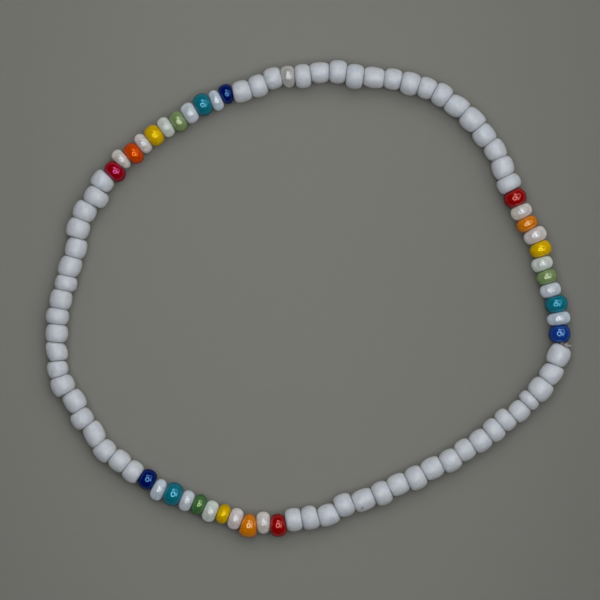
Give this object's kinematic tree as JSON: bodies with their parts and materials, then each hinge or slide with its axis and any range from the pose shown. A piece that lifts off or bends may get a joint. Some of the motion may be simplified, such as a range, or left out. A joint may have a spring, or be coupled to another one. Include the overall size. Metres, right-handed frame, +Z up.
{
  "type": "beaded stretch bracelet",
  "caption": "Stretch bracelet of small glass beads strung on one elastic cord: runs of white beads part three groups in rainbow colours.",
  "frame": {"origin": "middle of the bracelet's bounding box, on the surface that the bracelet lies on", "axes": "+Z up from the surface; +X towards the cord's knot, along the bracelet's longest width; +Y across it, away from the bottom colour group"},
  "size_m": [0.0701, 0.0637, 0.0033],
  "materials": {
    "white_glass": "opaque white glass, satin from the cut, slightly uneven",
    "pearl_glass": "opaque white glass with a glossy pearl lustre",
    "cream_glass": "opaque cream glass with a soft pearl lustre",
    "blue_glass": "dark blue glass, glossy lustre",
    "turquoise_glass": "turquoise glass, glossy lustre",
    "green_glass": "leaf green glass, glossy lustre",
    "yellow_glass": "lemon to golden yellow glass, glossy lustre",
    "orange_glass": "orange glass, glossy lustre",
    "red_glass": "crimson glass, glossy lustre",
    "elastic": "clear elastic beading cord, milky where it is knotted"
  },
  "bodies": {
    "root": {"bottom_blue_bead": "blue_glass", "bottom_spacer_bead_1": "pearl_glass", "bottom_turquoise_bead": "turquoise_glass", "bottom_spacer_bead_2": "pearl_glass", "bottom_green_bead": "green_glass", "bottom_spacer_bead_3": "pearl_glass", "bottom_yellow_bead": "yellow_glass", "bottom_spacer_bead_4": "pearl_glass", "bottom_orange_bead": "orange_glass", "bottom_spacer_bead_5": "pearl_glass", "bottom_red_bead": "red_glass", "bottom_white_run": "white_glass", "right_blue_bead": "blue_glass", "right_spacer_bead_1": "pearl_glass", "right_turquoise_bead": "turquoise_glass", "right_spacer_bead_2": "pearl_glass", "right_green_bead": "green_glass", "right_spacer_bead_3": "pearl_glass", "right_yellow_bead": "yellow_glass", "right_spacer_bead_4": "pearl_glass", "right_orange_bead": "orange_glass", "right_spacer_bead_5": "pearl_glass", "right_red_bead": "red_glass", "top_white_run": "white_glass", "top_cream_bead": "cream_glass", "top_white_bead_1": "white_glass", "top_white_bead_2": "white_glass", "top_white_bead_3": "white_glass", "upper_left_blue_bead": "blue_glass", "upper_left_spacer_bead_1": "pearl_glass", "upper_left_turquoise_bead": "turquoise_glass", "upper_left_spacer_bead_2": "pearl_glass", "upper_left_green_bead": "green_glass", "upper_left_spacer_bead_3": "pearl_glass", "upper_left_yellow_bead": "yellow_glass", "upper_left_spacer_bead_4": "pearl_glass", "upper_left_orange_bead": "orange_glass", "upper_left_spacer_bead_5": "pearl_glass", "upper_left_red_bead": "red_glass", "left_white_run": "white_glass", "elastic_cord": "elastic"}
  },
  "joints": []
}
